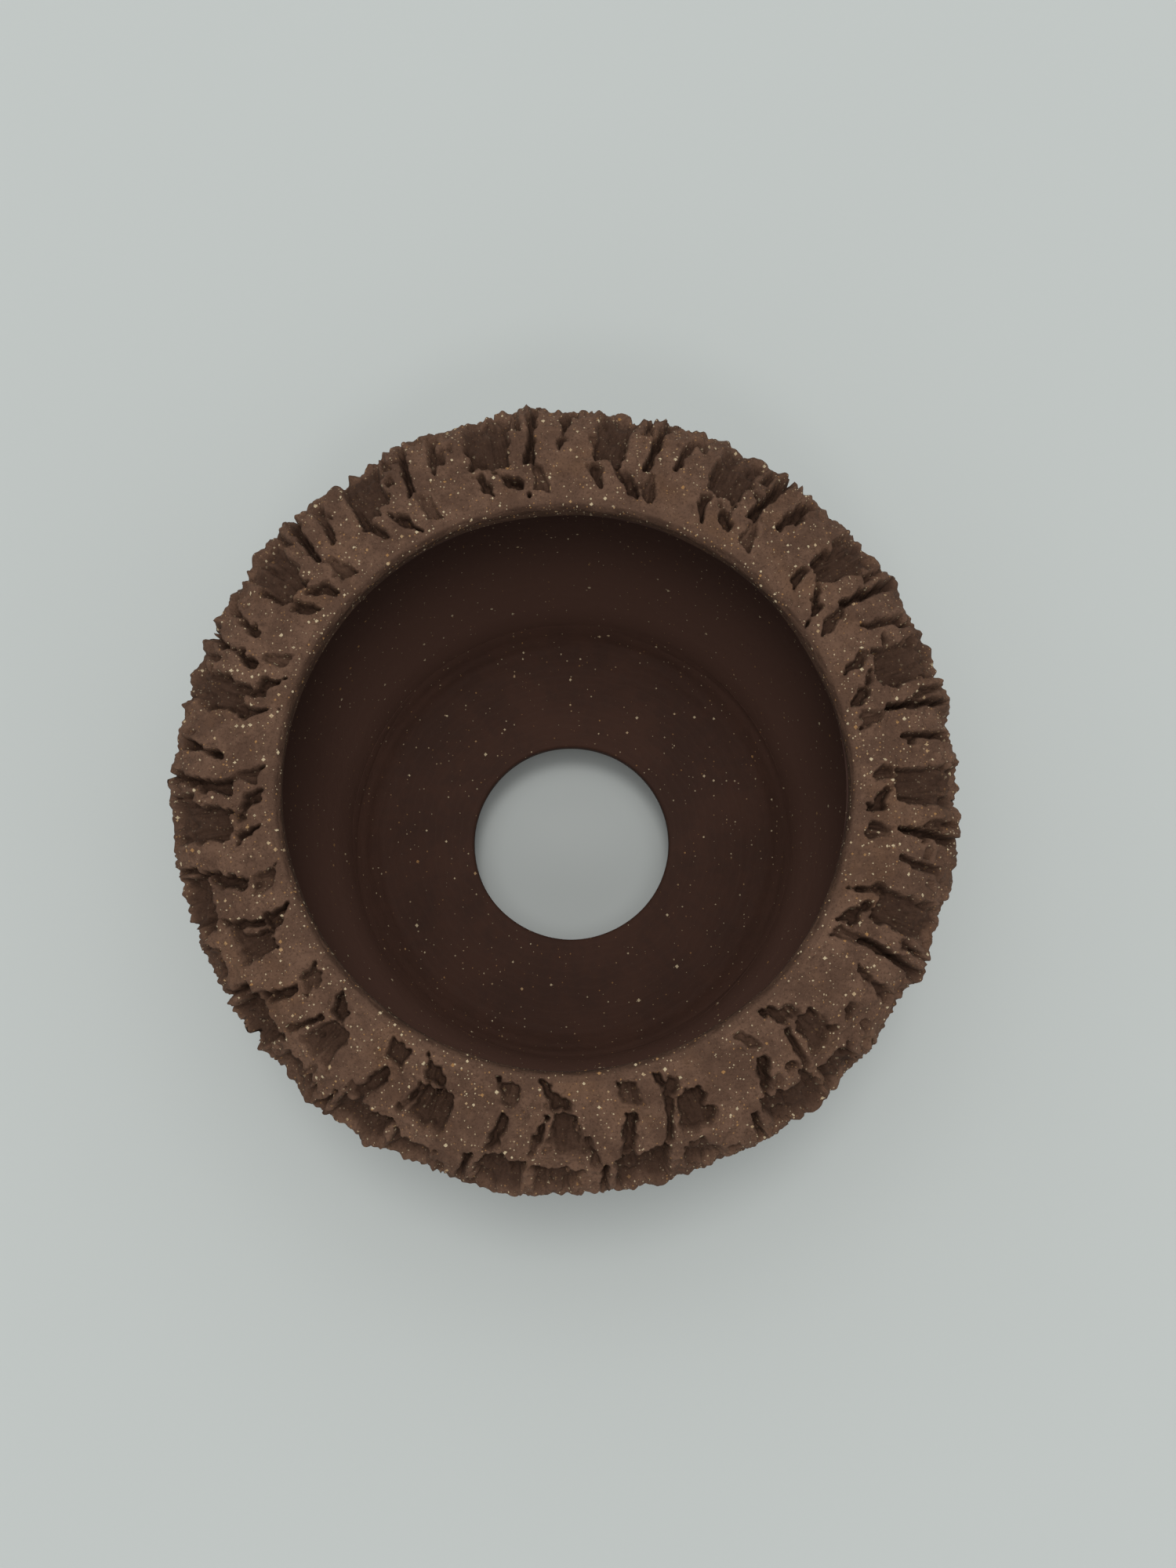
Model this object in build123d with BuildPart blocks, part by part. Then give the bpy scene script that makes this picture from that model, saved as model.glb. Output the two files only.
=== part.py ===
from build123d import *
import os
from math import cos, radians, sin

# A small unglazed stoneware pot for an accent plant or a little tree. A thick ring of clay was
# carved all round while soft and then stretched from inside, so its skin tore open in courses of
# ragged gashes and only the lip stayed whole. The ring is luted to a slab floor with a wide drain
# hole, a coil of clay is pressed into the corner between them, and three pads of clay are its feet.
# Millimetres, +Z up, origin on the pot's axis at the surface that it stands on.

# Heights
foot_height = 5.0
floor_thickness = 5.0
inner_depth = 52.0  # from the lip's top down to the floor
belly_drop = 6.0  # from the lip's top down to the widest part of the skin
inner_belly_drop = 13.0  # from the lip's top down to the widest part of the inside

# Radii of the ring
mouth_radius = 35.0
lip_width = 1.4  # the whole, untorn band of the lip
lip_edge_round = 1.1  # rounding of the mouth's edge
throat_length = 1.5  # straight part of the mouth, under its rounded edge
belly_radius = 50.6  # over the tops of the torn ridges
inner_belly_radius = 42.0
base_radius = 32.0  # where the skin has turned right under
shoulder_fullness = 0.62  # how square the shoulder is: 0.55 is an ellipse, 1 a corner
flank_fullness = 0.5

# Slab floor and drain hole
floor_radius = 29.5
drain_radius = 14.2
drain_land = 1.5  # straight wall of the drain hole, at the floor's top
drain_bevel = 3.5  # how far the underside is cut back round the hole

# Coil in the corner of floor and wall
coil_on_floor = 3.8
coil_up_wall = 4.4
coil_lean = 2.2  # how far the wall leans out behind the coil
coil_hollow = 0.7  # how deep a finger pressed the coil's face in

# Feet
foot_count = 3
foot_radius = 5.2
foot_edge_round = 1.2
foot_spread = 30.0  # degrees from +X to the first foot

# Torn skin: the same gashes in each of the columns round the pot
column_count = 17
gash_lean = 6.0  # degrees that a gash leans off upright
gash_ramp = 12.0  # degrees that its floor dips towards its upper end
gash_narrowing = 0.72  # its upper edge's width as a share of its lower edge's
gash_clearance = 4.0  # how far a cutter stands out of the skin
# Each gash: share of the way down its stretch of skin, width, length, depth, degrees of turn
shoulder_gashes = (
    (0.24, 2.8, 2.8, 1.4, 4.0),
    (0.52, 4.6, 5.4, 2.0, 0.0),
    (0.52, 1.4, 5.4, 2.2, 7.5),
    (0.88, 6.0, 3.6, 2.0, 10.0),
)
flank_gashes = (
    (0.11, 5.6, 6.0, 2.0, 0.0),
    (0.26, 5.4, 6.0, 1.8, 10.0),
    (0.41, 4.6, 6.0, 1.4, 0.0),
)

# Worked out from the sizes above
floor_top = foot_height + floor_thickness
rim_height = floor_top + inner_depth
belly_height = rim_height - belly_drop
inner_belly_height = rim_height - inner_belly_drop
lip_outer_radius = mouth_radius + lip_width
throat_height = rim_height - lip_edge_round - throat_length
shoulder_reach = belly_radius - lip_outer_radius
flank_reach = belly_radius - base_radius
flank_drop = belly_height - foot_height
coil_toe = (floor_radius - coil_on_floor, floor_top)
coil_heel = (floor_radius, floor_top)
coil_head = (floor_radius + coil_lean, floor_top + coil_up_wall)
foot_pitch = (drain_radius + drain_bevel + floor_radius) / 2

# The skin's two curves, from the lip out to the belly and from there down to the base, drawn with
# X as radius and Y as height
with BuildLine() as skin:
    shoulder = Bezier(
        (lip_outer_radius, rim_height),
        (lip_outer_radius + shoulder_fullness * shoulder_reach, rim_height),
        (belly_radius, belly_height + shoulder_fullness * belly_drop),
        (belly_radius, belly_height),
    )
    flank = Bezier(
        (belly_radius, belly_height),
        (belly_radius, belly_height - flank_fullness * flank_drop),
        (base_radius + flank_fullness * flank_reach, foot_height),
        (base_radius, foot_height),
    )


def plane_on(curve, share, turn):
    """Plane on a curve of the skin at a share of its length, its Z out of the clay, its Y up it."""
    point = curve @ share
    down = curve % share
    east = cos(radians(turn))
    north = sin(radians(turn))
    return Plane(
        origin=(point.X * east, point.X * north, point.Y),
        x_dir=(-north, east, 0),
        z_dir=(-down.Y * east, -down.Y * north, down.X),
    )


# Cutters of one column of gashes
gashes = [(shoulder, *gash) for gash in shoulder_gashes] + [(flank, *gash) for gash in flank_gashes]
with BuildPart() as column:
    for curve, share, width, length, depth, turn in gashes:
        bed = plane_on(curve, share, turn).rotated((-gash_ramp, 0, gash_lean)).offset(-depth)
        with BuildSketch(bed):
            with BuildLine():
                Polyline(
                    (-width / 2, -length / 2),
                    (width / 2, -length / 2),
                    (width / 2 * gash_narrowing, length / 2),
                    (-width / 2 * gash_narrowing, length / 2),
                    close=True,
                )
            make_face()
        extrude(amount=depth + gash_clearance)

# Ring of clay: the wall, from its lip to where it is luted round the floor
with BuildPart() as wall:
    with BuildSketch(Plane.XZ):
        with BuildLine():
            add(skin.line)
            Line((lip_outer_radius, rim_height), (mouth_radius + lip_edge_round, rim_height))
            RadiusArc(
                (mouth_radius + lip_edge_round, rim_height),
                (mouth_radius, rim_height - lip_edge_round),
                lip_edge_round,
            )
            Line((mouth_radius, rim_height - lip_edge_round), (mouth_radius, throat_height))
            Bezier(
                (mouth_radius, throat_height),
                (mouth_radius, (2 * throat_height + inner_belly_height) / 3),
                (inner_belly_radius, (throat_height + 2 * inner_belly_height) / 3),
                (inner_belly_radius, inner_belly_height),
            )
            Bezier(
                (inner_belly_radius, inner_belly_height),
                (inner_belly_radius, (inner_belly_height + coil_head[1]) / 2),
                (coil_head[0] + 2 * coil_lean, coil_head[1] + 2 * coil_up_wall),
                coil_head,
            )
            Line(coil_head, coil_heel)
            Line(coil_heel, (floor_radius, foot_height))
            Line((floor_radius, foot_height), (base_radius, foot_height))
        make_face()
    revolve(axis=Axis.Z)
    with PolarLocations(0, column_count):
        add(column.part, mode=Mode.SUBTRACT)

# Slab floor, with its drain hole cut back underneath so that water lets go of it
with BuildPart() as floor:
    with BuildSketch(Plane.XY.offset(foot_height)):
        Circle(floor_radius)
    extrude(amount=floor_thickness)
    Hole(drain_radius)
    with BuildSketch(Plane.XZ):
        with BuildLine():
            Polyline(
                (drain_radius, floor_top - drain_land),
                (drain_radius + drain_bevel, foot_height),
                (drain_radius, foot_height),
                close=True,
            )
        make_face()
    revolve(axis=Axis.Z, mode=Mode.SUBTRACT)

# Coil pressed into the corner, its face hollowed by the finger
with BuildPart() as seam_coil:
    with BuildSketch(Plane.XZ):
        with BuildLine():
            Line(coil_toe, coil_heel)
            Line(coil_heel, coil_head)
            SagittaArc(coil_head, coil_toe, coil_hollow)
        make_face()
    revolve(axis=Axis.Z)

# Feet: round pads of clay under the floor, rounded where they meet the table
feet = []
for number in range(foot_count):
    turn = foot_spread + 360 / foot_count * number
    place = (foot_pitch * cos(radians(turn)), foot_pitch * sin(radians(turn)), foot_height)
    with BuildPart() as foot:
        with BuildSketch(Plane(origin=place)):
            Circle(foot_radius)
        extrude(amount=-foot_height)
        fillet(foot.faces().sort_by(Axis.Z)[0].edges(), radius=foot_edge_round)
    feet.append(foot)

names = ["wall", "floor", "seam_coil"] + [f"foot_{number + 1}" for number in range(foot_count)]
os.makedirs("parts", exist_ok=True)
for name, piece in zip(names, [wall, floor, seam_coil] + feet):
    piece.part.label = name
    export_step(piece.part, f"parts/{name}.step")
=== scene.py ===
from math import cos, pi, radians, sin, tau

import bpy
import numpy as np
from bpy.props import FloatProperty, FloatVectorProperty, IntProperty, PointerProperty
from bpy.types import Operator, Panel, PropertyGroup
from mathutils import Matrix, Vector


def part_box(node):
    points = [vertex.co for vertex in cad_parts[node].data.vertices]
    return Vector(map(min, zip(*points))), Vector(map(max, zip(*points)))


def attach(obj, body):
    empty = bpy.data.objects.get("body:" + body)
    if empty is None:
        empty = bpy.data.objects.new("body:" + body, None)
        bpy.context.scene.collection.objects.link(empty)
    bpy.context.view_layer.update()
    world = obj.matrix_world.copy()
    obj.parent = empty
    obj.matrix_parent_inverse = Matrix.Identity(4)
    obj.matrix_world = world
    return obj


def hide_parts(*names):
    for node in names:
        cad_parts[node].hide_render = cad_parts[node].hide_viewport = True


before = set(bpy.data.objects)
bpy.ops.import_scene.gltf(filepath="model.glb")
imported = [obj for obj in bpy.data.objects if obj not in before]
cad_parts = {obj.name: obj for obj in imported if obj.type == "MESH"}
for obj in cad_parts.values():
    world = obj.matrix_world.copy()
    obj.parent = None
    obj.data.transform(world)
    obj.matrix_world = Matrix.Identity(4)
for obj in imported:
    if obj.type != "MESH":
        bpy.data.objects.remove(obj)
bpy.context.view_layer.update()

bl_info = {
    "name": "Torn-skin stoneware pot",
    "version": (1, 0, 0),
    "blender": (4, 5, 0),
    "location": "View3D > Sidebar > Torn pot",
    "description": "A small stoneware pot whose carved skin tore open as it was stretched",
    "category": "Add Mesh",
}

MM = 0.001
WALL_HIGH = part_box("wall")[1]
FLOOR_LOW, FLOOR_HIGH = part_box("floor")
COIL_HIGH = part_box("seam_coil")[1]

# How square the skin's two curves are: 0.55 is an ellipse, 1 a corner
SHOULDER_FULLNESS = 0.62
FLANK_FULLNESS = 0.5
# Millimetres of clay behind the skin's face, and behind the face of the bowl
SKIN_THICKNESS = 3.0
BOWL_THICKNESS = 2.6
# Rows of the skin stand closest at the mouth: its first step, as a share of the mean step
FIRST_STEP = 0.45
# Width in millimetres of the steep side of a tear, at its upper end
TEAR_SIDE = 0.28
# Edges sharper than this many degrees stay sharp
SHARP_EDGE = 32
# Grog, large and then small: size of a cell and about the radius of its largest grain, both in metres,
# and the share of cells that hold one
SKIN_GROG = ((0.00088, 0.00025, 0.70), (0.00042, 0.00013, 0.90))
BOWL_GROG = ((0.0014, 0.00022, 0.45), (0.0006, 0.00012, 0.65))


# ---------------------------------------------------------------- sizes and colours


def length(name, description, default):
    """A distance property, kept in metres."""
    return FloatProperty(
        name=name, description=description, default=default, min=0, subtype="DISTANCE", unit="LENGTH"
    )


def colour(name, description, default):
    """A colour property, kept in linear light."""
    return FloatVectorProperty(
        name=name, description=description, default=default, size=3, min=0, max=1, subtype="COLOR"
    )


class TornPotSizes(PropertyGroup):
    rim_height: length("Rim height", "Top of the lip above the table", WALL_HIGH.z)
    belly_drop: length("Belly drop", "Widest part of the skin, below the lip", 0.006)
    mouth_radius: length("Mouth radius", "Inside edge of the lip", 0.035)
    lip_width: length("Lip width", "Whole, untorn band of the lip", 0.0014)
    lip_round: length("Lip rounding", "Rounding of the mouth's edge", 0.0011)
    throat: length("Throat", "Straight part of the mouth under its rounding", 0.0015)
    belly_radius: length("Belly radius", "The skin's lands, inside the torn ridges", WALL_HIGH.x - 0.0016)
    bowl_radius: length("Bowl radius", "Widest part of the inside", 0.042)
    bowl_drop: length("Bowl drop", "Widest part of the inside, below the lip", 0.013)
    base_radius: length("Base radius", "Where the skin has turned right under", 0.032)
    floor_radius: length("Floor radius", "Outer edge of the slab floor", FLOOR_HIGH.x)
    floor_under: length("Floor underside", "Underside of the slab above the table", FLOOR_LOW.z)
    floor_top: length("Floor top", "Top of the slab above the table", FLOOR_HIGH.z)
    drain_radius: length("Drain radius", "Hole through the floor", 0.0142)
    drain_bevel: length("Drain bevel", "How far the underside is cut back round the hole", 0.0035)
    drain_land: length("Drain land", "Straight wall of the hole at the floor's top", 0.0015)
    coil_head: length("Coil head", "Top of the seam coil above the table", COIL_HIGH.z)
    coil_radius: length("Coil radius", "Outer edge of the seam coil's top", COIL_HIGH.x)
    coil_on_floor: length("Coil on floor", "How far the coil comes in over the floor", 0.0038)
    foot_round: length("Foot rounding", "Rounding of a foot where it meets the table", 0.0012)
    columns: IntProperty(
        name="Columns", description="Points round the skin", default=1600, min=60, max=4000
    )
    band_rows: IntProperty(
        name="Band rows", description="Rows of faces in a band", default=56, min=8, max=400
    )
    bands: IntProperty(
        name="Bands", description="Bands that the skin is cut into", default=6, min=1, max=12
    )


class TornPotColours(PropertyGroup):
    land: colour("Skin", "Fired skin of the outside", (0.162, 0.090, 0.058))
    land_dark: colour("Skin, dark", "Darker clouds in the skin", (0.104, 0.056, 0.036))
    # painted shade: the tear colour is the torn clay darkened further, to stand in for the shade down in a
    # tear
    tear: colour("Tear", "Raw clay at the bottom of a tear", (0.052, 0.026, 0.016))
    inside: colour("Inside", "Smoothed clay of the bowl", (0.062, 0.0275, 0.0180))
    inside_dark: colour("Inside, dark", "Darker clouds in the bowl", (0.047, 0.0215, 0.0145))
    cream: colour("Cream grog", "Pale specks of grog", (0.66, 0.53, 0.34))
    ochre: colour("Ochre grog", "Yellow-brown specks of grog", (0.40, 0.21, 0.08))
    rust: colour("Rust", "Warmer patches in the skin", (0.165, 0.082, 0.040))
    # painted light and shade: the bowl's wall is painted paler low down and darker under the lip's overhang
    wall_low: colour("Bowl, low", "Inside of the wall near the floor", (0.122, 0.062, 0.045))
    wall_high: colour("Bowl, high", "Inside of the wall under the lip", (0.053, 0.026, 0.019))
    turning: colour("Turning rings", "Paler rings left by the turning", (0.10, 0.058, 0.04))
    table: colour("Table", "Pale table", (0.555, 0.585, 0.575))


# ---------------------------------------------------------------- shader maths


class Value:
    """A socket that takes part in sums: each operator adds one Math node."""

    def __init__(self, tree, socket):
        self.tree = tree
        self.socket = socket

    def sum(self, operation, *others):
        return self.tree.node("ShaderNodeMath", {"operation": operation}, dict(enumerate((self, *others))))

    def __add__(self, other):
        return self.sum("ADD", other)

    def __mul__(self, other):
        return self.sum("MULTIPLY", other)

    def __sub__(self, other):
        return self.sum("SUBTRACT", other)

    def __rsub__(self, other):
        return self.tree.node("ShaderNodeMath", {"operation": "SUBTRACT"}, {0: other, 1: self})

    __radd__ = __add__
    __rmul__ = __mul__

    def fade(self, low, high):
        """0 below low, 1 above high, eased between."""
        return self.tree.node(
            "ShaderNodeMapRange",
            {"interpolation_type": "SMOOTHSTEP"},
            {"Value": self, "From Min": low, "From Max": high},
        )


class Finish:
    """Node tree of one material, with its Principled shader."""

    def __init__(self, name):
        self.material = bpy.data.materials.new(name)
        self.material.use_nodes = True
        self.tree = self.material.node_tree
        self.shader = self.tree.nodes["Principled BSDF"]
        self.place = self.node("ShaderNodeTexCoord", out="Object")

    def node(self, kind, settings=None, inputs=None, out=0):
        """Adds a node: its settings first, then the values or links of its sockets."""
        made = self.tree.nodes.new(kind)
        for key, value in (settings or {}).items():
            setattr(made, key, value)
        for key, value in (inputs or {}).items():
            self.feed(made.inputs[key], value)
        return Value(self, made.outputs[out])

    def feed(self, socket, value):
        if isinstance(value, Value):
            self.tree.links.new(value.socket, socket)
        elif hasattr(value, "__len__") and len(value) == 3 and socket.type == "RGBA":
            socket.default_value = (*value, 1)
        else:
            socket.default_value = value

    def noise(self, scale, detail=3.0, roughness=0.55, place=None):
        return self.node(
            "ShaderNodeTexNoise",
            None,
            {"Vector": place or self.place, "Scale": scale, "Detail": detail, "Roughness": roughness},
        )

    def beside(self, value, out):
        """Another output of the node that a value comes from."""
        return Value(self, value.socket.node.outputs[out])

    def blend(self, amount, first, second):
        """Colour mixed from first to second by amount."""
        return self.node("ShaderNodeMix", {"data_type": "RGBA"}, {0: amount, 6: first, 7: second}, out=2)

    def stretched(self, x, y, z):
        """Object coordinates scaled unevenly, so that a pattern is drawn out where the scale is small."""
        return self.node("ShaderNodeMapping", None, {"Vector": self.place, "Scale": (x, y, z)})

    def specks(self, cell, largest, share):
        """Grog: one grain in a share of the cells, of a size that differs from cell to cell and with an
        edge roughened by noise. Returns its mask, and a number from 0 to 1 that is its own to colour it."""
        reach = self.node(
            "ShaderNodeTexVoronoi",
            {"distance": "MANHATTAN"},
            {"Vector": self.place, "Scale": 1 / cell},
            out="Distance",
        )
        chance = self.node("ShaderNodeSeparateColor", None, {0: self.beside(reach, "Color")})
        size = chance.fade(1 - share, 1)
        size = (size * size * 0.6 + size * 0.4) * (largest / cell)
        edge = reach * (self.noise(1.6 / largest, 2) * 0.8 + 0.35)
        return (size - edge).fade(0, 0.08 * largest / cell), self.beside(chance, 1)

    def grog(self, grains, colours):
        """Both sizes of grog as pairs of mask and colour: large first, then small."""
        pairs = []
        for grain, (ochre_from, ochre_full) in zip(grains, ((0.45, 0.9), (0.3, 0.8))):
            mask, hue = self.specks(*grain)
            pairs.append((mask, self.blend(hue.fade(ochre_from, ochre_full), colours.cream, colours.ochre)))
        return pairs

    def bump(self, height, distance, strength=1.0, under=None):
        """Normal of a surface raised by height, on top of the bumps under it."""
        inputs = {"Height": height, "Distance": distance, "Strength": strength}
        if under:
            inputs["Normal"] = under
        return self.node("ShaderNodeBump", None, inputs)

    def finish(self, base, roughness, normal):
        """Plugs colour, roughness and normal into the shader, with little shine. Returns the material."""
        self.shader.inputs["Specular IOR Level"].default_value = 0.18
        self.feed(self.shader.inputs["Base Color"], base)
        self.feed(self.shader.inputs["Roughness"], roughness)
        self.feed(self.shader.inputs["Normal"], normal)
        return self.material


def torn_stoneware(colours):
    """Bare, mottled stoneware, thick with grog on its skin; rougher down in a tear, and darker there, partly
    for the bare clay and partly as painted shade.
    """
    clay = Finish("torn_stoneware")
    torn = clay.node("ShaderNodeAttribute", {"attribute_name": "torn"}, out="Fac")
    lip = clay.node("ShaderNodeAttribute", {"attribute_name": "lip"}, out="Fac")
    clouds = clay.noise(220, 4, 0.6)
    mottle = clay.noise(900, 4, 0.65)
    fine = clay.noise(3200, 3, 0.6)
    skin = clay.blend((clouds * 0.6 + mottle * 0.4).fade(0.40, 0.62), colours.land_dark, colours.land)
    rust = clay.noise(140, 3, 0.6).fade(0.5, 0.75) * 0.3
    skin = clay.blend(rust, skin, colours.rust)
    # painted shade: deep in a tear the skin takes the tear colour, partly bare clay and partly painted shade
    # for the hollow
    pale_raw_and_shade = clay.blend(0.35, colours.tear, colours.land_dark)
    raw_clay_and_shade = clay.blend(mottle.fade(0.35, 0.7), colours.tear, pale_raw_and_shade)
    skin = clay.blend(lip.fade(0, 0.4) * 0.5, skin, colours.land_dark)
    # painted shade: the lip's inner edge is darkened towards the tear colour where it turns down into the
    # bowl, broken by streaks
    streaks = clay.noise(2400, 3, 0.6, clay.stretched(0.14, 0.14, 1)).fade(0.42, 0.58)
    skin = clay.blend(lip.fade(0.4, 0.8) * (streaks * 0.45 + 0.4), skin, colours.tear)
    base = clay.blend(torn * 0.95, skin, raw_clay_and_shade)
    (large, grain), (small, dust) = clay.grog(SKIN_GROG, colours)
    clean = 1 - torn * 0.75
    base = clay.blend(small * clean * 0.75, base, dust)
    base = clay.blend(large * clean * 0.90, base, grain)
    grit = clay.noise(1500, 5, 0.7)
    base = clay.blend((0.5 - fine).fade(0.02, 0.14) * 0.45, base, colours.tear)
    relief = clay.bump(grit + large * 0.5, 0.00034, 0.9)
    relief = clay.bump(fine, 0.00016, 0.8, relief)
    rough = 0.86 + (mottle - 0.5) * 0.14 - lip * 0.08
    return clay.finish(base, rough, relief)


def wiped_stoneware(colours):
    """The same clay wiped smooth: darker, with few grains showing and fine rings from the turning. The wall
    is painted paler low down, as painted light where it is open to the mouth, and darker under the lip as
    painted shade."""
    clay = Finish("wiped_stoneware")
    clouds = clay.noise(90, 4, 0.6)
    mottle = clay.noise(700, 4, 0.65)
    base = clay.blend((clouds * 0.7 + mottle * 0.3).fade(0.38, 0.64), colours.inside_dark, colours.inside)
    height = clay.node("ShaderNodeSeparateXYZ", None, {0: clay.place}, out="Z")
    # painted light and shade: paler low on the wall, darker under the lip's overhang
    wall = clay.blend(height.fade(0.020, 0.038), colours.wall_low, colours.wall_high)
    base = clay.blend(height.fade(0.0095, 0.019), base, wall)
    rings = clay.node(
        "ShaderNodeTexWave",
        {"wave_type": "RINGS", "rings_direction": "Z"},
        {"Vector": clay.place, "Scale": 260.0, "Distortion": 5.0, "Detail": 3.0, "Detail Scale": 1.5},
    )
    base = clay.blend(rings.fade(0.75, 1) * 0.05, base, colours.turning)
    (large, grain), (small, dust) = clay.grog(BOWL_GROG, colours)
    base = clay.blend(small * 0.55, base, dust)
    base = clay.blend(large * 0.80, base, grain)
    relief = clay.bump(clay.noise(1300, 4, 0.65) + rings * 0.25, 0.00010, 0.6)
    return clay.finish(base, 0.78 + (mottle - 0.5) * 0.12, relief)


def table_top(colours):
    """Worn white laminate: nearly plain, with the faintest clouding. From below it is clear, so that the
    pot's underside can be seen through it."""
    top = Finish("table_top")
    cloud = top.noise(9, 3, 0.5).fade(0.3, 0.7)
    base = top.blend(cloud * 0.35, colours.table, [0.97 * part for part in colours.table])
    relief = top.bump(top.noise(900, 2), 0.00002, 0.3)
    made = top.finish(base, 0.62 + cloud * 0.05, relief)
    below = top.node("ShaderNodeNewGeometry", out="Backfacing")
    clear = top.node("ShaderNodeBsdfTransparent")
    seen = top.node("ShaderNodeMixShader", None, {0: below, 1: Value(top, top.shader.outputs[0]), 2: clear})
    top.feed(top.tree.nodes["Material Output"].inputs["Surface"], seen)
    return made


# ---------------------------------------------------------------- meshes


def mesh_of(name, points, faces, material, slot, nodes, normals=None, **attributes):
    mesh = bpy.data.meshes.new(name)
    mesh.from_pydata(points, [], faces)
    mesh.validate()
    mesh.shade_smooth()
    for key, values in attributes.items():
        layer = mesh.attributes.new(key, "FLOAT", "POINT")
        layer.data.foreach_set("value", np.ascontiguousarray(values, np.float32))
    if normals is None:
        mesh.set_sharp_from_angle(angle=radians(SHARP_EDGE))
    else:
        mesh.normals_split_custom_set_from_vertices(normals)
    mesh.materials.append(material)
    piece = bpy.data.objects.new(name, mesh)
    bpy.context.scene.collection.objects.link(piece)
    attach(piece, "root")
    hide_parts(*nodes)


def ring_faces(rings, columns):
    """Quads of a tube closed both ways: each ring joins the next, and the last joins the first."""
    ring, column = np.meshgrid(np.arange(rings), np.arange(columns), indexing="ij")
    next_ring = (ring + 1) % rings
    next_column = (column + 1) % columns
    corners = (
        ring * columns + column,
        next_ring * columns + column,
        next_ring * columns + next_column,
        ring * columns + next_column,
    )
    return np.stack(corners, axis=-1).reshape(-1, 4)


def turned(radius, height, turn):
    """Points at a radius and height, at a turn about +Z."""
    return np.stack((radius * np.cos(turn), radius * np.sin(turn), height), axis=-1)


def directions(path):
    """Unit direction of travel at each point of an open path."""
    tangent = np.gradient(path, axis=0)
    return tangent / np.hypot(*tangent.T)[:, None]


def path_through(*stretches):
    """One polyline through stretches of curve, without the repeated ends."""
    return np.concatenate([stretches[0]] + [stretch[1:] for stretch in stretches[1:]])


def line(start, end, count=12):
    """Straight line between two points."""
    share = np.linspace(0, 1, count)[:, None]
    return (1 - share) * np.array(start) + share * np.array(end)


def bezier(*controls, count=160):
    """Cubic curve: the controls weighted by (1-t)^3, 3t(1-t)^2, 3t^2(1-t) and t^3."""
    share = np.linspace(0, 1, count)[:, None]
    a, b, c, d = (np.array(point) for point in controls)
    rest = 1 - share
    return rest**3 * a + 3 * share * rest**2 * b + 3 * share**2 * rest * c + share**3 * d


def arc(centre, radius, start, end, count=10):
    """Circular arc between two angles, in degrees."""
    angle = np.radians(np.linspace(start, end, count))
    return np.array(centre) + radius * np.stack((np.cos(angle), np.sin(angle)), axis=-1)


def resampled(path, count, even=1.0):
    """The path again, in count points, and the length travelled at each. The steps are equal at even 1;
    below it they start at that share of the mean step and grow steadily."""
    steps = np.hypot(*np.diff(path, axis=0).T)
    travelled = np.concatenate(([0], np.cumsum(steps)))
    share = np.linspace(0, 1, count)
    places = travelled[-1] * share * (even + (1 - even) * share)
    return np.stack([np.interp(places, travelled, path[:, axis]) for axis in (0, 1)], axis=-1), places


def wander(seed, shape, down, across):
    """Smooth noise of spread 1: random values blurred by a bell curve that is down by across steps wide,
    and that closes on itself."""
    white = np.random.default_rng(seed).standard_normal(shape)
    rows = np.fft.fftfreq(shape[0])[:, None] * down
    columns = np.fft.fftfreq(shape[1])[None, :] * across
    soft = np.fft.ifft2(np.fft.fft2(white) * np.exp(-2 * pi**2 * (rows**2 + columns**2) / 16)).real
    return (soft - soft.mean()) / soft.std()


# ---------------------------------------------------------------- the torn skin

# Where the seventeen columns stand, in degrees round from +X
COLUMN_TURNS = (
    164.3, 143.8, 123.8, 102.7, 81.9, 61.6, 39.7, 20.3, -0.5,
    -21.0, -44.5, -68.3, -89.5, -111.6, -132.2, -152.4, -173.8,
)  # fmt: skip

# Tears of one column on its tighter side and on its looser side: depth in millimetres, how much
# shallower the lower end is, then the corners as degrees round from the column and millimetres
# out from the mouth's edge.
TIGHT_TEARS = (
    (1.7, 0.2, (-1.1, 2.6), (-1.6, 6.0), (-4.1, 5.7), (-2.6, 3.6)),
    (2.0, 0.2, (5.4, 2.0), (4.9, 4.3), (0.2, 5.9), (1.6, 3.9)),
    (1.1, 0.4, (9.8, 2.2), (8.6, 5.7), (7.0, 6.2), (6.6, 3.0)),
    (2.1, 0.6, (2.8, 6.0), (4.2, 13.8), (-3.5, 14.0), (-2.7, 6.4)),
    (2.5, 0.1, (7.6, 6.2), (8.6, 14.2), (6.8, 14.2), (6.4, 6.2)),
    (1.9, 0.2, (11.9, 7.4), (13.4, 13.0), (11.5, 13.0), (11.1, 7.4)),
    (1.2, 0.2, (5.6, 11.0), (5.2, 14.0), (4.6, 14.0), (4.4, 11.2)),
)
LOOSE_TEARS = (
    (1.9, 0.2, (4.6, 1.9), (3.6, 5.0), (-0.8, 5.2), (0.4, 3.4)),
    (1.4, 0.3, (11.9, 1.8), (10.8, 4.7), (7.6, 5.3), (8.0, 2.7)),
    (2.1, 0.5, (2.4, 5.2), (3.7, 10.0), (-3.6, 10.3), (-1.9, 5.5)),
    (1.6, 0.2, (4.0, 5.4), (5.6, 10.2), (4.3, 10.3), (2.9, 5.6)),
    (2.1, 0.2, (11.0, 5.7), (12.9, 10.2), (10.9, 10.5), (9.3, 6.0)),
    (2.3, 0.3, (13.6, 10.4), (14.4, 14.3), (6.0, 14.4), (5.0, 10.9)),
    (1.9, 0.2, (15.4, 11.2), (16.4, 14.4), (14.9, 14.4), (14.7, 11.3)),
    (1.5, 0.3, (3.6, 11.6), (4.2, 14.4), (-1.8, 14.5), (-2.4, 12.2)),
)


def smooth(share):
    """Eased step: 0 below 0, 1 above 1."""
    share = np.clip(share, 0, 1)
    return share * share * (3 - 2 * share)


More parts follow.
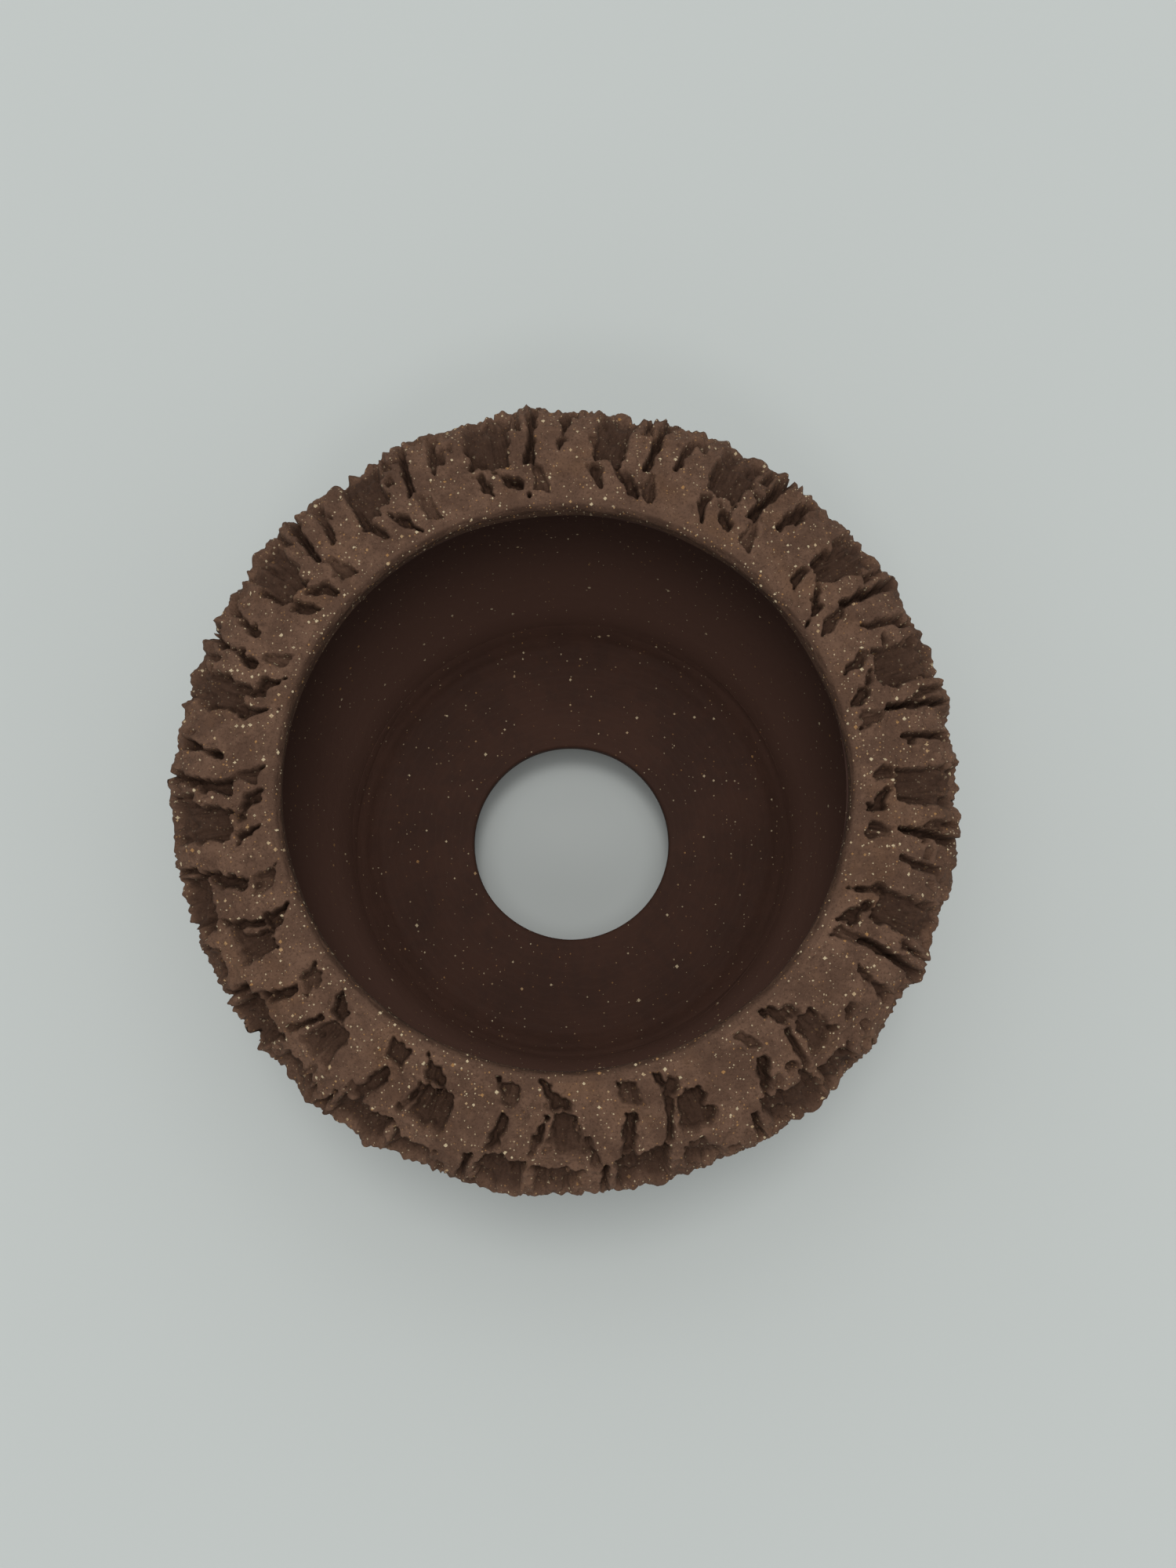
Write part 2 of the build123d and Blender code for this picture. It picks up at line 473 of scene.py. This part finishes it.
class Skin:
    """The skin as a grid: rows run from the throat over the lip and down to the base, columns run round."""

    def __init__(self, sizes):
        rim = sizes.rim_height / MM
        mouth = sizes.mouth_radius / MM
        edge = sizes.lip_round / MM
        lip = mouth + sizes.lip_width / MM
        belly = sizes.belly_radius / MM
        belly_height = rim - sizes.belly_drop / MM
        base = sizes.base_radius / MM
        under = sizes.floor_under / MM
        reach = belly - lip
        rise = rim - belly_height
        fall = belly_height - under
        path = path_through(
            line((mouth, rim - edge - sizes.throat / MM), (mouth, rim - edge)),
            arc((mouth + edge, rim - edge), edge, 180, 90),
            line((mouth + edge, rim), (lip, rim)),
            bezier(
                (lip, rim),
                (lip + SHOULDER_FULLNESS * reach, rim),
                (belly, belly_height + SHOULDER_FULLNESS * rise),
                (belly, belly_height),
            ),
            bezier(
                (belly, belly_height),
                (belly, belly_height - FLANK_FULLNESS * fall),
                (base + FLANK_FULLNESS * (belly - base), under),
                (base, under),
            ),
            line((base, under), (sizes.floor_radius / MM, under)),
        )
        self.rows = sizes.bands * sizes.band_rows + 1
        self.columns = sizes.columns
        self.profile, self.travel = resampled(path, self.rows, FIRST_STEP)
        self.radius, self.height = self.profile.T
        self.tangent = directions(self.profile)
        self.turn = np.arange(self.columns) * tau / self.columns
        self.mouth = mouth
        self.widest = int(self.radius.argmax())
        self.lip_row = int(np.argmax(self.radius >= lip))
        self.shape = (self.rows, self.columns)
        self.cut = np.zeros(self.shape)
        self.burr = np.zeros(self.shape)
        self.ragged = 0.22 * self.noise(11, 1.6, 1.6) + 0.10 * self.noise(12, 0.7, 0.7)
        self.fibres = self.noise(13, 4.0, 0.7)
        self.facets = np.abs(self.noise(15, 5.0, 3.0)) - 0.8
        self.lumps = self.noise(14, 1.8, 2.2)

    def noise(self, seed, down, across):
        """Noise with blobs of a size in millimetres, made in equal steps and then read at each row."""
        middle_radius = 46
        step = self.travel[-1] / (self.rows - 1)
        equal = wander(seed, self.shape, down / step, across / (tau * middle_radius / self.columns))
        place = np.minimum(self.travel / step, self.rows - 1.001)
        above = place.astype(int)
        share = (place - above)[:, None]
        return (1 - share) * equal[above] + share * equal[above + 1]

    def row_at(self, out):
        """Length along the skin where it stands this far out from the mouth's edge, above the belly."""
        upper = slice(self.lip_row, self.widest + 1)
        return np.interp(self.mouth + out, self.radius[upper], self.travel[upper])

    def tear(self, turn, corners, depth, ramp):
        """Cuts one tear. Its outline is a convex polygon, of degrees round and length down the skin:
        the distance to it is the greatest distance past any of its sides, made ragged by noise. Its
        floor drops steeply from the outline and ramps out towards the lower end. The clay that was
        pushed aside stands up as a burr along the outline."""
        corners = np.array(corners, float)
        middle = corners[:, 1].mean()
        girth = radians(1) * np.interp(middle, self.travel, self.radius)
        corners[:, 0] *= girth
        low, high = corners.min(axis=0) - 2, corners.max(axis=0) + 2
        rows = np.arange(*np.searchsorted(self.travel, (low[1], high[1])))
        here = np.radians(turn) / tau * self.columns
        first, last = (int(across / girth / 360 * self.columns) for across in (low[0], high[0]))
        spread = np.arange(first - 1, last + 2)
        # degrees grow clockwise from the column, and columns run the other way
        columns = (np.round(here).astype(int) - spread) % self.columns
        window = np.ix_(rows, columns)
        x = np.broadcast_to(spread / self.columns * 360 * girth, (len(rows), len(columns)))
        y = np.broadcast_to(self.travel[rows][:, None], (len(rows), len(columns)))
        ends = np.roll(corners, -1, axis=0)
        sides = ends - corners
        area = (corners[:, 0] * ends[:, 1] - ends[:, 0] * corners[:, 1]).sum()
        past = np.full(x.shape, -np.inf)
        for (cx, cy), (sx, sy) in zip(corners, sides):
            away = ((x - cx) * sy - (y - cy) * sx) / max(np.hypot(sx, sy), 1e-6) * np.sign(area)
            past = np.maximum(past, away)
        width = np.ptp(corners[:, 0])
        past = past - 0.12 + self.ragged[window] * min(1, 0.2 + width / 5)
        share = np.clip((y - corners[:, 1].min()) / np.ptp(corners[:, 1]), 0, 1)
        wall = smooth(-past / (TEAR_SIDE * (1 + 3 * share * min(1, width / 5))))
        rough = 0.15 * self.fibres[window] + 0.22 * self.facets[window] * min(1, width / 4)
        floor = depth * (1 - ramp * share) + rough
        self.cut[window] = np.maximum(self.cut[window], wall * np.maximum(floor, 0.1))
        ridge = np.exp(-(((past - 0.15) / 0.4) ** 2)) * (0.10 + 0.22 * share)
        self.burr[window] = np.maximum(self.burr[window], ridge)

    def tear_columns(self, seed=5):
        """Tears every column, each a little differently, with crumbs between the tears, and carries the
        courses on down the flank."""
        rng = np.random.default_rng(seed)
        belly = self.travel[self.widest]
        crumbs, courses, pitch = 5, 7, 6.3
        for turn in COLUMN_TURNS:
            loose = -160 < turn < -35
            lean = 0.8 + 0.9 * cos(radians(turn - 170))
            for depth, ramp, *corners in LOOSE_TEARS if loose else TIGHT_TEARS:
                shift = rng.normal(0, 0.25)
                swell = rng.normal(1, 0.08)
                middle = np.mean(corners, axis=0)
                bent = []
                for across, out in corners:
                    across = middle[0] + (across - middle[0]) * swell + shift + rng.normal(0, 0.18)
                    out = out + rng.normal(0, 0.15)
                    across += lean * (out - middle[1]) * 0.16 * (middle[1] > 5.5)
                    bent.append((across, self.row_at(out)))
                self.tear(turn, bent, depth * rng.normal(1, 0.12), ramp)
            for _ in range(crumbs):
                middle, out, half = rng.uniform(-6, 15), rng.uniform(8, 14.2), rng.uniform(0.5, 1.6)
                top, bottom = self.row_at(out), self.row_at(out) + rng.uniform(0.8, 2.6)
                corners = (
                    (middle + half * rng.uniform(0.3, 1), top),
                    (middle + half, bottom),
                    (middle - half, bottom - rng.uniform(0, 0.6)),
                    (middle - half * rng.uniform(0.3, 1), top + rng.uniform(0, 0.8)),
                )
                self.tear(turn, corners, rng.uniform(0.6, 1.6), 0.4)
            for course in range(courses):
                fade = 1 - 0.11 * course
                start = belly + 0.8 + pitch * course + 0.9 * sin(3 * radians(turn) + course)
                start += rng.normal(0, 0.5)
                # every other course stands half a column over
                offset = 10.6 * (course % 2 == 0) + 2.0 * sin(course * 2.4)
                for along, wide, deep in ((0.0, 7.0, 2.2), (7.4, 1.7, 2.0), (12.0, 4.4, 1.7)):
                    middle = along + offset + rng.normal(0, 1.5)
                    half = wide / 2 * rng.uniform(0.7, 1.2) * (0.7 + 0.3 * fade)
                    top = start + rng.normal(0, 1.1)
                    bottom = top + 5.4 * fade * rng.uniform(0.75, 1.2)
                    slant = rng.normal(0.6, 0.5)
                    corners = (
                        (middle + half * 0.6 - slant, top + rng.uniform(-0.6, 0.6)),
                        (middle + half + slant, bottom + rng.uniform(-0.8, 0.6)),
                        (middle - half + slant, bottom + rng.uniform(-0.8, 0.6)),
                        (middle - half * 0.6 - slant, top + rng.uniform(-0.4, 1.0)),
                    )
                    self.tear(turn, corners, deep * fade * rng.normal(1, 0.15), 0.6)

    def relief(self):
        """How far the skin stands out: gentle waves, lumps at the belly and burrs, less the tears."""
        along = self.travel[:, None]
        belly = self.travel[self.widest]
        # relief starts past the lip, and fades out before the skin's hidden end
        skin = smooth((along - self.travel[self.lip_row]) / 3)
        base = 1 - smooth((along - self.travel[-1] + 16) / 10)
        crest = np.exp(-(((along - belly + 0.3) / 2.6) ** 2))
        waves = 0.28 * self.noise(21, 8, 8) + 0.07 * self.noise(22, 1.1, 1.1)
        teeth = 0.30 * self.lumps * crest + 0.16 * self.noise(23, 1.0, 0.9) * smooth((along - belly + 7) / 5)
        for turn in COLUMN_TURNS:
            gap = (np.degrees(self.turn)[None, :] - turn + 7.4 + 180) % 360 - 180
            teeth = teeth + 0.85 * np.exp(-((gap / 1.5) ** 2) - ((along - belly + 0.2) / 1.7) ** 2)
        thumb = 0.10 * self.noise(24, 3, 24) * (1 - skin)
        highest = 1.7
        out = waves + teeth + self.burr
        out = np.where(out > 0, highest * np.tanh(out / highest), out)
        return thumb + skin * base * out - self.cut * base

    def surface(self):
        """Points in metres and outward normals of the whole grid."""
        relief = self.relief()
        # outside its lip the pot is a little oval
        oval = 0.004 * np.cos(2 * (self.turn - radians(100)))[None, :]
        oval = 1 + oval * smooth((self.radius[:, None] - 37) / 8)
        radius = self.radius[:, None] * oval - self.tangent[:, 1:] * relief
        height = self.height[:, None] + self.tangent[:, :1] * relief
        points = turned(radius, height, np.broadcast_to(self.turn[None, :], self.shape))
        across = np.roll(points, -1, axis=1) - np.roll(points, 1, axis=1)
        down = np.gradient(points, axis=0)
        normals = np.cross(down, across)
        normals /= np.linalg.norm(normals, axis=-1, keepdims=True)
        return points * MM, normals


# ---------------------------------------------------------------- operators


def settings():
    return bpy.context.scene.torn_pot_sizes, bpy.context.scene.torn_pot_colours


def finish_of(maker):
    """The material of that name, made the first time that it is asked for."""
    return bpy.data.materials.get(maker.__name__) or maker(settings()[1])


class TORNPOT_OT_skin(Operator):
    """Makes the torn skin, from the throat over the lip down to the base, in closed bands"""

    bl_idname = "torn_pot.skin"
    bl_label = "Torn skin"

    def execute(self, context):
        sizes, _ = settings()
        skin = Skin(sizes)
        skin.tear_columns()
        points, normals = skin.surface()
        # depth in a tear, by which the skin is painted darker: partly bare clay, partly painted shade
        torn = smooth((skin.cut - 0.12) / 1.3)
        # rises across the mouth's rounding, where the material paints shade on the lip's inner edge
        inner_edge_shade = 1 - smooth((skin.radius - skin.mouth) * MM / sizes.lip_round)
        lip = np.where(np.arange(skin.rows) <= skin.lip_row, 0.4 + 0.6 * inner_edge_shade, 0)
        lip = np.broadcast_to(lip[:, None], skin.shape)
        for band in range(sizes.bands):
            first = band * sizes.band_rows
            last = first + sizes.band_rows
            # two hidden rings close the band behind its face
            backs = []
            for row in (last, first):
                radius = skin.radius[row] + skin.tangent[row, 1] * SKIN_THICKNESS
                height = skin.height[row] - skin.tangent[row, 0] * SKIN_THICKNESS
                backs.append(turned(radius, np.full(skin.columns, height), skin.turn))
            front = points[first : last + 1]
            rings = np.concatenate((front, np.array(backs) * MM))
            count = len(rings)
            facing = np.concatenate((normals[first : last + 1], -normals[[last, first]]))
            extra = np.zeros((2, skin.columns))
            mesh_of(
                f"wall_skin_{band + 1}",
                rings.reshape(-1, 3),
                ring_faces(count, skin.columns),
                finish_of(torn_stoneware),
                "torn_clay",
                ["wall"],
                facing.reshape(-1, 3),
                torn=np.concatenate((torn[first : last + 1], extra)).ravel(),
                lip=np.concatenate((lip[first : last + 1], extra)).ravel(),
            )
        return {"FINISHED"}


def turned_piece(name, path, node, rows, columns, seed, wobble):
    """Makes a closed profile carried round the axis, moved along its normal by smooth noise. The wobble is
    the noise's spread in millimetres."""
    profile, _ = resampled(path, rows + 1)
    profile = profile[:-1]
    tangent = np.roll(profile, -1, axis=0) - np.roll(profile, 1, axis=0)
    tangent /= np.hypot(*tangent.T)[:, None]
    turn = np.arange(columns) * tau / columns
    move = wobble * wander(seed, (rows, columns), rows / 9, columns / 7)
    radius = profile[:, :1] - tangent[:, 1:] * move
    height = profile[:, 1:] + tangent[:, :1] * move
    points = turned(radius, height, np.broadcast_to(turn[None, :], radius.shape))
    points = points.reshape(-1, 3) * MM
    mesh_of(name, points, ring_faces(rows, columns), finish_of(wiped_stoneware), "smooth_clay", [node])


class TORNPOT_OT_inside(Operator):
    """Makes the bowl's smoothed inside, from the throat down to the seam coil"""

    bl_idname = "torn_pot.inside"
    bl_label = "Inside of the bowl"

    def execute(self, context):
        sizes, _ = settings()
        mouth = sizes.mouth_radius / MM
        bowl = sizes.bowl_radius / MM
        throat = (sizes.rim_height - sizes.lip_round - sizes.throat) / MM
        widest = (sizes.rim_height - sizes.bowl_drop) / MM
        head = (sizes.coil_radius / MM, sizes.coil_head / MM)
        heel = (sizes.floor_radius / MM, sizes.floor_top / MM)
        foot = (sizes.floor_radius / MM, sizes.floor_under / MM)
        upper = (
            (mouth, throat),
            (mouth, (2 * throat + widest) / 3),
            (bowl, (throat + 2 * widest) / 3),
            (bowl, widest),
        )
        # the wall leaves the coil's head in the direction that runs up to it from the floor's edge
        lean = 2 * (np.array(head) - heel)
        lower = np.array(((bowl, widest), (bowl, (widest + head[1]) / 2), head + lean, head))
        # the back of the piece is hidden in the clay
        back = np.array((BOWL_THICKNESS, 0))
        seat = np.array(foot) + (1.6, 0.4)
        crown = np.array((mouth + SKIN_THICKNESS, throat))
        path = path_through(
            bezier(*upper),
            bezier(*lower),
            line(head, heel),
            line(heel, foot),
            line(foot, seat),
            line(seat, head + back),
            bezier(*(lower[::-1] + back)),
            line((bowl + back[0], widest), crown),
            line(crown, (mouth, throat)),
        )
        turned_piece("wall_inside", path[::-1], "wall", rows=220, columns=360, seed=31, wobble=0)
        return {"FINISHED"}


class TORNPOT_OT_floor(Operator):
    """Makes the slab floor, with its drain hole cut back underneath"""

    bl_idname = "torn_pot.floor"
    bl_label = "Floor"

    def execute(self, context):
        sizes, _ = settings()
        drain = sizes.drain_radius / MM
        outer = sizes.floor_radius / MM
        top = sizes.floor_top / MM
        under = sizes.floor_under / MM
        land = top - sizes.drain_land / MM
        edge = 0.45
        path = path_through(
            line((drain, land), (drain, top - edge), 8),
            arc((drain + edge, top - edge), edge, 180, 90),
            line((drain + edge, top), (outer, top), 60),
            line((outer, top), (outer, under), 12),
            line((outer, under), (drain + sizes.drain_bevel / MM, under), 30),
            line((drain + sizes.drain_bevel / MM, under), (drain, land), 12),
        )
        turned_piece("floor_slab", path, "floor", rows=160, columns=300, seed=41, wobble=0.03)
        return {"FINISHED"}


class TORNPOT_OT_coil(Operator):
    """Makes the coil of clay pressed into the corner between floor and wall"""

    bl_idname = "torn_pot.coil"
    bl_label = "Seam coil"

    def execute(self, context):
        sizes, _ = settings()
        head = np.array((sizes.coil_radius, sizes.coil_head)) / MM
        heel = np.array((sizes.floor_radius, sizes.floor_top)) / MM
        # feathered out past its toe, and sunk a little, so that it blends into the floor
        toe = heel - (sizes.coil_on_floor / MM + 1.2, 0.05)
        path = path_through(
            bezier(toe, toe + (4.2, 0.1), head - (1.1, 2.2), head),
            line(head, heel),
            line(heel, toe),
        )
        turned_piece("seam_coil_ring", path, "seam_coil", rows=60, columns=300, seed=51, wobble=0.06)
        return {"FINISHED"}


class TORNPOT_OT_feet(Operator):
    """Makes the pads of clay that the pot stands on"""

    bl_idname = "torn_pot.feet"
    bl_label = "Feet"

    def execute(self, context):
        sizes, _ = settings()
        edge = sizes.foot_round / MM
        rings_count, columns = 48, 96
        axis = 0.2  # radius of the face in the middle of each end
        turn = np.arange(columns) * tau / columns
        for number, name in enumerate(sorted(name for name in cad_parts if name.startswith("foot_"))):
            low, high = (np.array(corner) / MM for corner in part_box(name))
            centre = (low + high) / 2
            radius = (high[0] - low[0]) / 2
            path = path_through(
                line((axis, high[2]), (radius, high[2]), 8),
                line((radius, high[2]), (radius, low[2] + edge), 8),
                arc((radius - edge, low[2] + edge), edge, 0, -90),
                line((radius - edge, low[2]), (axis, low[2]), 8),
            )
            profile, _ = resampled(path, rings_count)
            swell = 1 + 0.012 * wander(60 + number, (rings_count, columns), 12, 24) * (profile[:, :1] > 1)
            shape = swell.shape
            height = np.broadcast_to(profile[:, 1:], shape)
            rings = turned(profile[:, :1] * swell, height, np.broadcast_to(turn[None, :], shape))
            rings[..., :2] += centre[:2]
            last = (rings_count - 1) * columns
            faces = [tuple(face) for face in ring_faces(rings_count, columns)[:last].tolist()]
            faces.append(tuple(range(columns)))
            faces.append(tuple(range(last + columns - 1, last - 1, -1)))
            points = rings.reshape(-1, 3) * MM
            mesh_of(f"{name}_pad", points, faces, finish_of(wiped_stoneware), "smooth_clay", [name])
        return {"FINISHED"}


class TORNPOT_OT_stage(Operator):
    """Makes the table, the soft light and the camera"""

    bl_idname = "torn_pot.stage"
    bl_label = "Stage"

    def execute(self, context):
        scene = context.scene
        half = 2.0
        # a hair under the feet, so that their soles aren't in the same plane
        top = -0.00002
        corners = [(-half, -half, top), (half, -half, top), (half, half, top), (-half, half, top)]
        mesh = bpy.data.meshes.new("table")
        mesh.from_pydata(corners, [], [(0, 1, 2, 3)])
        mesh.materials.append(finish_of(table_top))
        table = bpy.data.objects.new("table", mesh)
        scene.collection.objects.link(table)

        world = bpy.data.worlds.new("room")
        world.use_nodes = True
        sky = world.node_tree.nodes["Background"]
        sky.inputs["Color"].default_value = (0.97, 1.0, 1.0, 1)
        sky.inputs["Strength"].default_value = 0.56
        scene.world = world

        # each lamp: its share of the light on the table, how wide it is and how far towards +Y it stands
        # from overhead, both in degrees
        lamps = (("ceiling_light", 0.20, 48, 4), ("lamp", 0.18, 12, 6), ("far_light", 0.06, 8, -29))
        for name, share, width, north in lamps:
            lamp = bpy.data.lights.new(name, "SUN")
            lamp.energy = share * pi
            lamp.angle = radians(width)
            lamp.color = (1.0, 0.99, 0.97)
            holder = bpy.data.objects.new(name, lamp)
            holder.rotation_euler = (radians(-north), 0, 0)
            scene.collection.objects.link(holder)

        data = bpy.data.cameras.new("camera")
        data.sensor_width = 36
        data.lens = 50.4
        camera = bpy.data.objects.new("camera", data)
        back = Vector((0.010333, -0.168706, 1)).normalized()
        right = Vector((0, 1, 0)).cross(back).normalized()
        up = back.cross(right)
        turn = Matrix((right, up, back)).transposed().to_4x4()
        camera.matrix_world = Matrix.Translation(Vector((5.746, -44.993, 327.949)) * MM) @ turn
        scene.collection.objects.link(camera)
        scene.camera = camera
        scene.view_settings.view_transform = "Standard"
        return {"FINISHED"}


class TORNPOT_PT_panel(Panel):
    bl_label = "Torn pot"
    bl_idname = "TORNPOT_PT_panel"
    bl_space_type = "VIEW_3D"
    bl_region_type = "UI"
    bl_category = "Torn pot"

    def draw(self, context):
        for group in (context.scene.torn_pot_sizes, context.scene.torn_pot_colours):
            box = self.layout.box()
            for name in group.bl_rna.properties.keys():
                if name not in ("rna_type", "name"):
                    box.prop(group, name)
        for operator in OPERATORS:
            self.layout.operator(operator.bl_idname)


OPERATORS = (
    TORNPOT_OT_skin,
    TORNPOT_OT_inside,
    TORNPOT_OT_floor,
    TORNPOT_OT_coil,
    TORNPOT_OT_feet,
    TORNPOT_OT_stage,
)
CLASSES = (TornPotSizes, TornPotColours, *OPERATORS, TORNPOT_PT_panel)


def register():
    for cls in CLASSES:
        bpy.utils.register_class(cls)
    bpy.types.Scene.torn_pot_sizes = PointerProperty(type=TornPotSizes)
    bpy.types.Scene.torn_pot_colours = PointerProperty(type=TornPotColours)


def unregister():
    del bpy.types.Scene.torn_pot_colours
    del bpy.types.Scene.torn_pot_sizes
    for cls in reversed(CLASSES):
        bpy.utils.unregister_class(cls)


def main():
    register()
    bpy.ops.torn_pot.skin()
    bpy.ops.torn_pot.inside()
    bpy.ops.torn_pot.floor()
    bpy.ops.torn_pot.coil()
    bpy.ops.torn_pot.feet()
    bpy.ops.torn_pot.stage()


if __name__ == "__main__":
    main()
